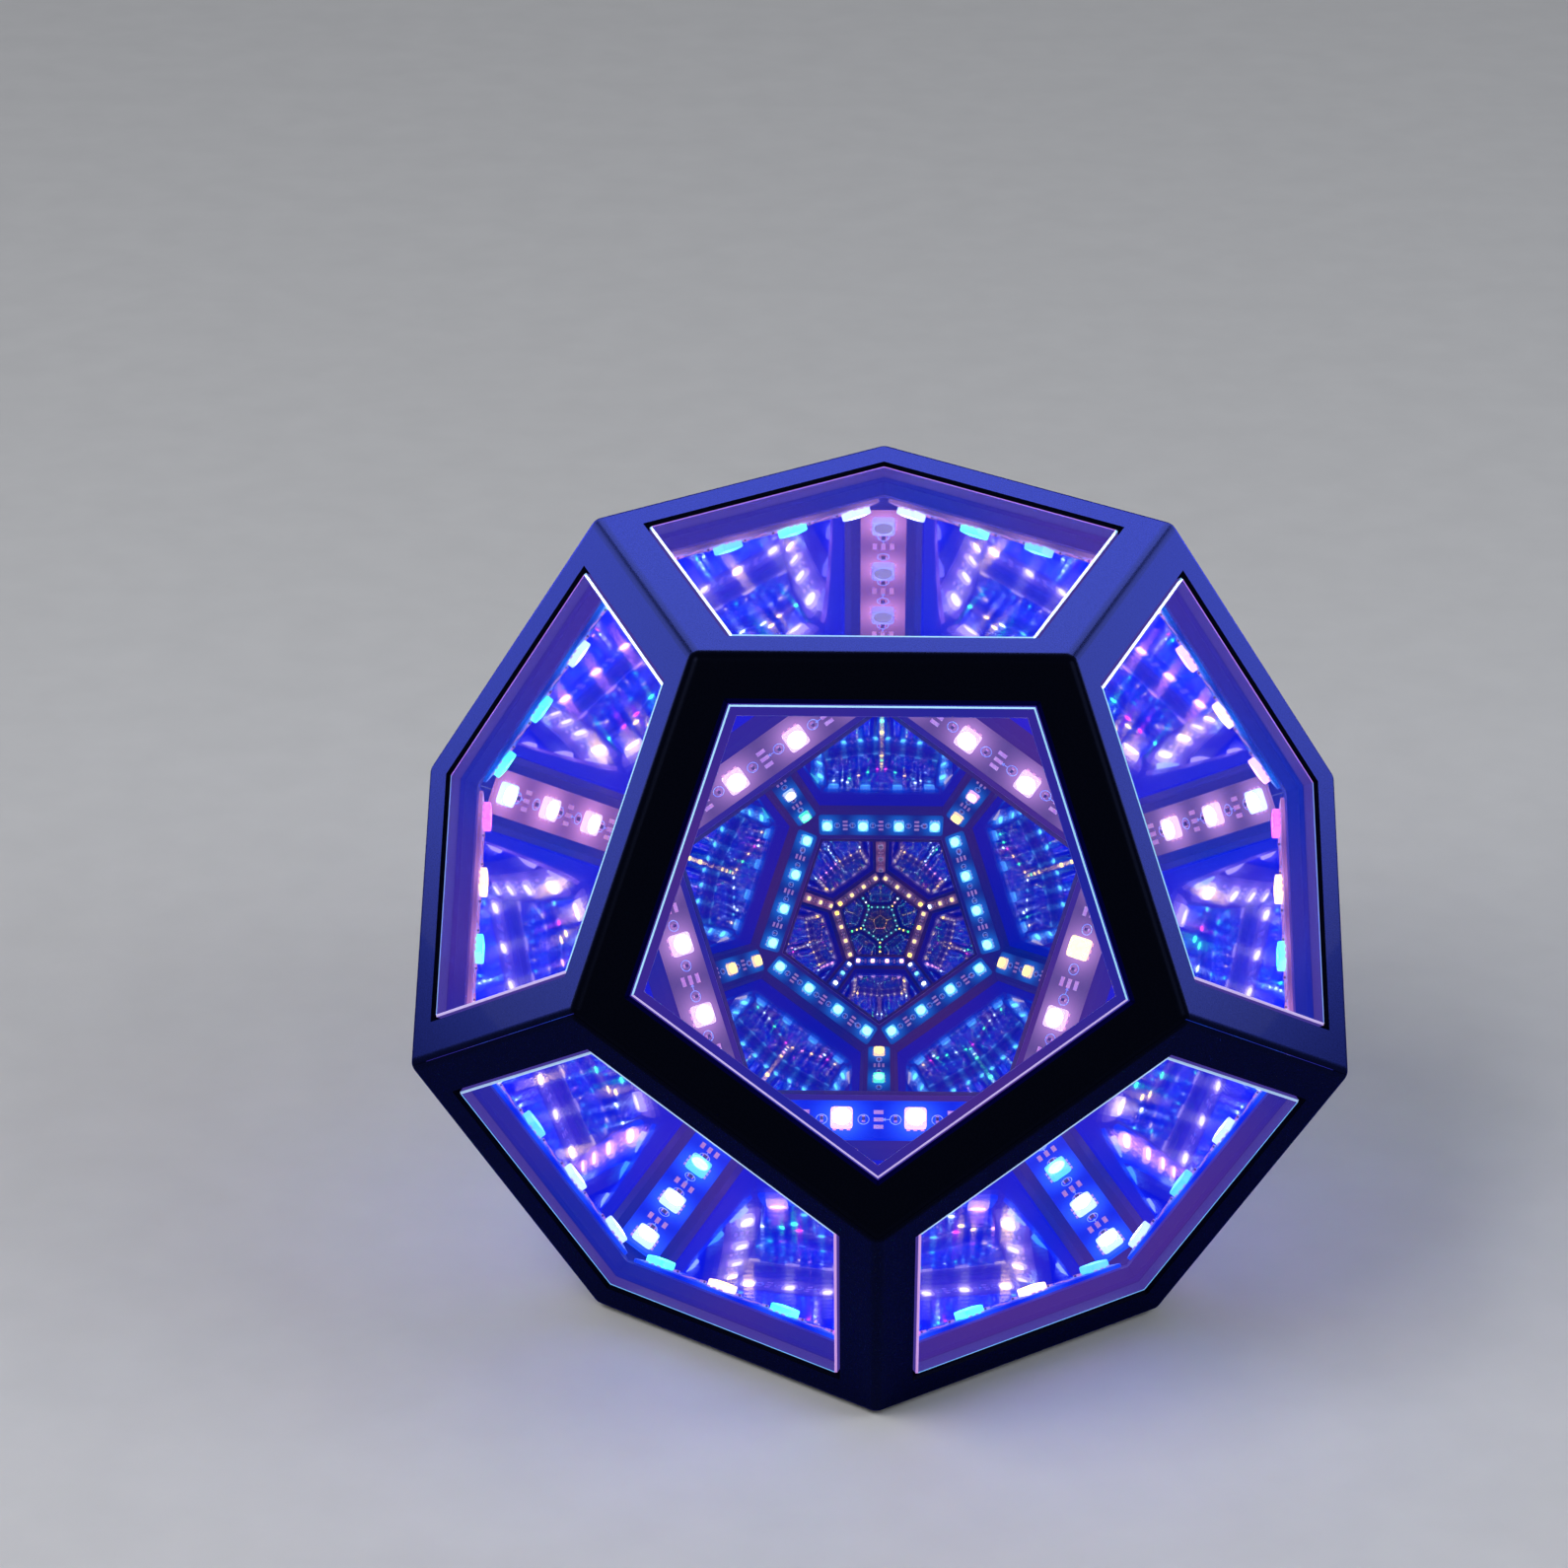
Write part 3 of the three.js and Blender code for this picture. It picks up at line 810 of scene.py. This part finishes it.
# How deep the dome's rings lie: its rim, and two rings at these shares of the well floor's radius.
DOME_RIM_DEPTH = 0.34 * MM
DOME_RINGS = ((0.7, 0.2 * MM), (0.3, 0.12 * MM))
LEG_SPACING = 1.6 * MM
LEG_HALF_WIDTH = 0.4 * MM
LEG_START = 2.35 * MM
LEG_END = 2.95 * MM
LEG_HEIGHT = 0.25 * MM
RING_INNER = 1.15 * MM
RING_OUTER = 1.35 * MM
INK_HEIGHT = 0.06 * MM
CHIP_HALF_WIDTH = 0.35 * MM
CHIP_HALF_LENGTH = 0.45 * MM
CHIP_END = 0.75 * MM
CHIP_CAP_HALF_WIDTH = 0.38 * MM
CHIP_HEIGHT = 0.5 * MM
ARROW_TAIL = -0.8 * MM
ARROW_NECK = 0.3 * MM
ARROW_TIP = 1.0 * MM
ARROW_HALF_SHAFT = 0.1 * MM
ARROW_HALF_HEAD = 0.45 * MM
ARROW_HEIGHT = 0.05 * MM
PAD_SPACING = 1.9 * MM
PAD_HALF_LENGTH = 1.1 * MM
PAD_HALF_WIDTH = 0.5 * MM
PAD_HEIGHT = 0.08 * MM
BOARD_BEVEL = 0.12 * MM
BOARD_CORNER = 0.8 * MM
CHIP_FROM_LED = 4.5 * MM
CHIP_FROM_CUT = 3.4 * MM
ARROW_BEFORE_CUT = -1.9 * MM
ARROW_AFTER_CUT = 1.7 * MM


def square_ring(half, z, x):
    """A square with cut corners, as points at even angles."""
    points = []
    for i in range(ROUND_SIDES):
        angle = math.tau * i / ROUND_SIDES
        across, up = math.cos(angle), math.sin(angle)
        reach = min(half / max(abs(across), abs(up)), half * math.sqrt(2) - CORNER_CUT)
        points.append((x + reach * across, reach * up, z))
    return points


def circle_ring(radius, z, x, count=ROUND_SIDES):
    angles = (math.tau * i / count for i in range(count))
    return [(x + radius * math.cos(a), radius * math.sin(a), z) for a in angles]


def add_led(build, x, package):
    """One square package with a round reflector well, and a glowing dome in the well."""
    emitter = package + 1
    half = LED_SIZE / 2
    rings = loft(build, [
        square_ring(half, BOARD_TOP, x),
        square_ring(half, LED_TOP - PACKAGE_BEVEL, x),
        square_ring(half - PACKAGE_BEVEL, LED_TOP, x),
        circle_ring(WELL_RADIUS, LED_TOP, x),
        circle_ring(WELL_FLOOR_RADIUS, LED_TOP - WELL_DEPTH, x),
    ], package, smooth=False)
    cap(build, list(reversed(rings[0])), package)
    outline = [circle_ring(WELL_FLOOR_RADIUS - DOME_GAP, LED_TOP - DOME_RIM_DEPTH, x)]
    for share, depth in DOME_RINGS:
        outline.append(circle_ring(WELL_FLOOR_RADIUS * share, LED_TOP - depth, x))
    dome = loft(build, outline, emitter)
    cap(build, dome[2], emitter, smooth=True)
    cap(build, list(reversed(dome[0])), emitter)
    cap(build, rings[4], package)


def add_legs(build, x):
    """The package's solder feet, three on each side."""
    top = BOARD_TOP + LEG_HEIGHT
    for side in (-1, 1):
        y0, y1 = sorted((side * LEG_START, side * LEG_END))
        for k in (-1, 0, 1):
            middle = x + k * LEG_SPACING
            slab(build, middle - LEG_HALF_WIDTH, middle + LEG_HALF_WIDTH, y0, y1, BOARD_TOP, top, COPPER)


def add_ring_mark(build, x):
    """The printed ring round each chip capacitor, and the capacitor in it."""
    top = BOARD_TOP + INK_HEIGHT
    rings = loft(build, [
        circle_ring(RING_INNER, BOARD_TOP, x, RING_SIDES),
        circle_ring(RING_INNER, top, x, RING_SIDES),
        circle_ring(RING_OUTER, top, x, RING_SIDES),
        circle_ring(RING_OUTER, BOARD_TOP, x, RING_SIDES),
    ], INK, smooth=False)
    for i in range(RING_SIDES):
        j = (i + 1) % RING_SIDES
        face = build.faces.new((rings[3][i], rings[3][j], rings[0][j], rings[0][i]))
        face.material_index = INK
    add_chip(build, x)


def add_chip(build, x):
    """A chip capacitor with its two metal ends."""
    top = BOARD_TOP + CHIP_HEIGHT
    left, right = x - CHIP_HALF_WIDTH, x + CHIP_HALF_WIDTH
    slab(build, left, right, -CHIP_HALF_LENGTH, CHIP_HALF_LENGTH, BOARD_TOP, top, CHIP)
    left, right = x - CHIP_CAP_HALF_WIDTH, x + CHIP_CAP_HALF_WIDTH
    for side in (-1, 1):
        y0, y1 = sorted((side * CHIP_HALF_LENGTH, side * CHIP_END))
        slab(build, left, right, y0, y1, BOARD_TOP, top, COPPER)


def add_arrow(build, x):
    """A small printed arrow that shows the way the data runs."""
    top = BOARD_TOP + ARROW_HEIGHT
    tail, neck, tip = x + ARROW_TAIL, x + ARROW_NECK, x + ARROW_TIP
    slab(build, tail, neck, -ARROW_HALF_SHAFT, ARROW_HALF_SHAFT, BOARD_TOP, top, INK)
    head = [(neck, -ARROW_HALF_HEAD), (tip, 0), (neck, ARROW_HALF_HEAD)]
    low = [(px, py, BOARD_TOP) for px, py in head]
    high = [(px, py, top) for px, py in head]
    rings = loft(build, [low, high], INK, smooth=False)
    cap(build, rings[1], INK)
    cap(build, list(reversed(rings[0])), INK)


def add_cut_pads(build, x):
    """Three solder pads across the cut line between two LEDs."""
    top = BOARD_TOP + PAD_HEIGHT
    left, right = x - PAD_HALF_LENGTH, x + PAD_HALF_LENGTH
    for k in (-1, 0, 1):
        y = k * PAD_SPACING
        slab(build, left, right, y - PAD_HALF_WIDTH, y + PAD_HALF_WIDTH, BOARD_TOP, top, COPPER)


def board_outline(inset, z):
    """A strip's outline, a rectangle with small cut corners."""
    a = STRIP_LENGTH / 2 - inset
    b = STRIP_WIDTH / 2 - inset
    flat = [
        (-a + BOARD_CORNER, -b), (a - BOARD_CORNER, -b), (a, -b + BOARD_CORNER), (a, b - BOARD_CORNER),
        (a - BOARD_CORNER, b), (-a + BOARD_CORNER, b), (-a, b - BOARD_CORNER), (-a, -b + BOARD_CORNER),
    ]
    return [(x, y, z) for x, y in flat]


def strip_mesh(name):
    build = bmesh.new()
    rings = loft(build, [
        board_outline(0, RIB_DEPTH + GAP),
        board_outline(0, BOARD_TOP - BOARD_BEVEL),
        board_outline(BOARD_BEVEL, BOARD_TOP),
    ], BOARD, smooth=False)
    cap(build, rings[2], BOARD)
    cap(build, list(reversed(rings[0])), BOARD)
    last = LEDS_PER_STRIP - 1
    for i in range(LEDS_PER_STRIP):
        x = (i - last / 2) * LED_PITCH
        add_led(build, x, LEDS + 2 * i)
        add_legs(build, x)
        if i == last:
            add_ring_mark(build, x - CHIP_FROM_LED)
            continue
        add_ring_mark(build, x + CHIP_FROM_LED)
        middle = x + LED_PITCH / 2
        add_cut_pads(build, middle)
        add_ring_mark(build, middle + CHIP_FROM_CUT)
        add_arrow(build, middle + (ARROW_BEFORE_CUT if i % 2 else ARROW_AFTER_CUT))
    mesh = bpy.data.meshes.new(name)
    build.to_mesh(mesh)
    build.free()
    return mesh


# The colours of an LED's glowing core and of the halo painted on its package.
LED_TONES = {
    "rose": ((16, 5, 9), (1.6, 0.80, 1.25)),
    "warm": ((4.6, 3.4, 1.4), (1.1, 0.72, 0.80)),
    "gold": ((20, 11, 0.9), (1.8, 1.25, 0.30)),
    "cyan": ((1.0, 4.6, 6.4), (0.05, 0.8, 1.6)),
    "mint": ((0.8, 16, 3.5), (0.05, 1.6, 0.8)),
    "plum": ((14, 0.5, 9), (1.5, 0.10, 1.4)),
    "white": ((12, 15, 20), (0.8, 1.1, 1.8)),
    "dim": ((0.30, 0.25, 0.60), (0.20, 0.15, 0.50)),
}
# A board's painted pools of light round its LEDs, and the painted light between them.
BOARD_PAINTED_LIGHT = {
    "lilac": ((0.75, 0.36, 0.80), (0.26, 0.15, 0.62)),
    "pink": ((0.95, 0.38, 0.75), (0.50, 0.20, 0.80)),
    "navy": ((0.0, 0.40, 1.5), (0.02, 0.06, 0.9)),
    "blue": ((0.05, 0.25, 1.2), (0.0, 0.04, 1.9)),
}
# The painted light on each strip's board and its four LEDs, family by family in the order of the strips'
# numbers.
STRIPS = {
    "base": [
        "blue plum mint gold cyan", "blue white white cyan white", "blue rose rose rose rose",
        "blue white cyan white white", "blue mint gold mint plum",
    ],
    "lower_rib": [
        "navy gold gold mint gold", "blue white cyan white white", "lilac gold warm gold warm",
        "lilac warm warm warm gold", "blue white white cyan white",
    ],
    "belt": [
        "navy cyan cyan cyan cyan", "navy gold gold mint gold", "pink gold mint gold plum",
        "lilac white warm warm white", "lilac gold warm warm warm", "lilac warm warm warm gold",
        "pink warm warm warm white", "pink plum gold mint gold", "navy gold mint gold gold",
        "navy cyan cyan cyan cyan",
    ],
    "upper_rib": [
        "pink dim dim dim dim", "navy mint mint white mint", "navy cyan cyan cyan cyan",
        "navy cyan cyan cyan cyan", "navy rose gold rose gold",
    ],
    "top": [
        "lilac white mint cyan plum", "navy mint cyan white mint", "navy cyan cyan cyan cyan",
        "navy gold rose white gold", "lilac plum cyan mint white",
    ],
}


def build_strips():
    # The pads, marks and chips have a little of the strips' light painted on them.
    copper = painted_light_detail("tinned_pads", (0.75, 0.5, 0.6), glow=(0.9, 0.35, 0.75), strength=0.3, metallic=0.6)
    ink = painted_light_detail("board_marks", (0.6, 0.7, 0.95), glow=(0.25, 0.35, 1.0), strength=0.4)
    chip = painted_light_detail("chip_capacitors", (0.18, 0.12, 0.25), glow=(0.2, 0.1, 0.5), strength=0.1)
    boards = {}
    for tone, (painted_pool, painted_ambient) in BOARD_PAINTED_LIGHT.items():
        boards[tone] = board_material("strip_board_painted_light_" + tone, painted_pool, painted_ambient)
    leds = {}
    for tone, (core, painted_halo) in LED_TONES.items():
        package = package_material("led_package_" + tone, painted_halo)
        leds[tone] = (package, emitter_material("led_" + tone, core))
    for name, ends in EDGES.items():
        family, number = name.rsplit("_", 1)
        board, *tones = STRIPS[family][int(number) - 1].split()
        paints = [boards[board], copper, ink, chip]
        for tone in tones:
            paints += leds[tone]
        strip = new_object("strip_" + name, strip_mesh("strip_" + name), paints, edge_matrix(*ends))
        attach(strip, "lamp")
        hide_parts("led_strip_" + name)


# ---------- the small CAD pieces ----------

# For each kind of CAD piece: the material's name, its two tones, the span of its roughness, the size
# and strength of its grain and, for metal, how metallic it is.
SMALL_PIECES = {
    "rubber_foot_": (
        "foot_rubber", (0.02, 0.02, 0.02), (0.035, 0.035, 0.035), (0.7, 0.9), 1800, 0.5,
    ),
    "control_board": (
        "green_solder_mask", (0.01, 0.11, 0.05), (0.015, 0.16, 0.07), (0.3, 0.5), 900, 0.1,
    ),
    "usb_c_socket": (
        "socket_steel", (0.6, 0.61, 0.63), (0.72, 0.73, 0.75), (0.2, 0.35), 1200, 0.1, 1.0,
    ),
    "mode_button": (
        "button_plastic", (0.02, 0.02, 0.024), (0.035, 0.035, 0.04), (0.45, 0.6), 2400, 0.3,
    ),
    "push_switch": (
        "switch_housing", (0.02, 0.02, 0.022), (0.04, 0.04, 0.042), (0.5, 0.65), 1600, 0.2,
    ),
    "lead_power": (
        "red_insulation", (0.5, 0.02, 0.02), (0.62, 0.03, 0.03), (0.35, 0.5), 1000, 0.1,
    ),
    "lead_ground": (
        "black_insulation", (0.01, 0.01, 0.01), (0.02, 0.02, 0.02), (0.35, 0.5), 1000, 0.1,
    ),
    "lead_data": (
        "green_insulation", (0.02, 0.3, 0.07), (0.03, 0.4, 0.1), (0.35, 0.5), 1000, 0.1,
    ),
}


def paint_cad():
    paints = {start: moulded(*recipe) for start, recipe in SMALL_PIECES.items()}
    for name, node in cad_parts.items():
        for start, material in paints.items():
            if name.startswith(start):
                node.data.materials.clear()
                node.data.materials.append(material)


# ---------- stage, lights and camera ----------

FLOOR_SIZE = 12.0
WHITE = (1, 1, 1)
WARM_WHITE = (1, 0.98, 0.96)
COOL_WHITE = (0.9, 0.94, 1)
STUDIO_GREY = (0.66, 0.67, 0.7, 1)
STUDIO_STRENGTH = 0.35


def floor_material():
    shader = Shader("pale_floor")
    noise, normal = moulded_bump(shader, scale=60, strength=0.02)
    surface = shader.add("ShaderNodeBsdfPrincipled", {
        "Base Color": two_tone(shader, noise, (0.70, 0.71, 0.73), (0.73, 0.74, 0.76)),
        "Roughness": 0.6,
        "Specular IOR Level": 0.0,
        "Normal": normal,
    })
    return shader.finish(surface.outputs[0])


def floor_object():
    mesh = bpy.data.meshes.new("floor")
    half = FLOOR_SIZE / 2
    corners = [(-half, -half, 0), (half, -half, 0), (half, half, 0), (-half, half, 0)]
    mesh.from_pydata(corners, [], [(0, 1, 2, 3)])
    return new_object("floor", mesh, (floor_material(),))


def softbox(name, place, size, colour, watts, gloss_only=False):
    """A rectangular light aimed at the object. With gloss_only it shows in reflections alone."""
    lamp = bpy.data.lights.new(name, "AREA")
    lamp.shape = "RECTANGLE"
    lamp.size, lamp.size_y = size
    lamp.color = colour
    lamp.energy = watts
    box = bpy.data.objects.new(name, lamp)
    bpy.context.scene.collection.objects.link(box)
    box.location = place
    box.rotation_euler = (CENTRE - Vector(place)).to_track_quat("-Z", "Y").to_euler()
    box.visible_camera = False
    box.visible_diffuse = not gloss_only


def build_stage():
    floor_object()
    world = bpy.data.worlds.new("studio")
    bpy.context.scene.world = world
    world.use_nodes = True
    background = world.node_tree.nodes["Background"]
    background.inputs["Color"].default_value = STUDIO_GREY
    background.inputs["Strength"].default_value = STUDIO_STRENGTH
    softbox("key", place=(-0.9, -0.9, 1.5), size=(0.9, 0.9), colour=WARM_WHITE, watts=16)
    softbox("fill", place=(1.2, -0.6, 1.1), size=(0.8, 0.8), colour=COOL_WHITE, watts=7)
    softbox("rear_sheen", place=(0, 1.5, 0.85), size=(1.7, 0.66), colour=WHITE, watts=46, gloss_only=True)
    for name, x in (("left_sheen", -0.55), ("right_sheen", 0.55)):
        softbox(name, place=(x, 0.5, 0.2), size=(0.6, 0.4), colour=WHITE, watts=7, gloss_only=True)


def build_camera():
    camera = bpy.data.objects.new("camera", bpy.data.cameras.new("camera"))
    bpy.context.scene.collection.objects.link(camera)
    camera.data.lens = VIEW_LENS
    camera.data.clip_start = NEAREST_SEEN
    away = toward(FRONT, VIEW_ELEVATION)
    right = Vector((1, 0, 0))
    up = right.cross(-away)
    place = CENTRE + away * VIEW_DISTANCE
    aim = CENTRE - right * AIM_LEFT + up * AIM_UP
    camera.location = place
    camera.rotation_euler = (aim - place).to_track_quat("-Z", "Y").to_euler()
    bpy.context.scene.camera = camera


def set_light_paths():
    scene = bpy.context.scene
    scene.view_settings.view_transform = "Standard"
    scene.cycles.max_bounces = MAX_BOUNCES
    scene.cycles.glossy_bounces = GLOSSY_BOUNCES
    scene.cycles.transparent_max_bounces = TRANSPARENT_BOUNCES


build_frame(frame_material())
build_panels()
build_strips()
paint_cad()
build_stage()
build_camera()
set_light_paths()
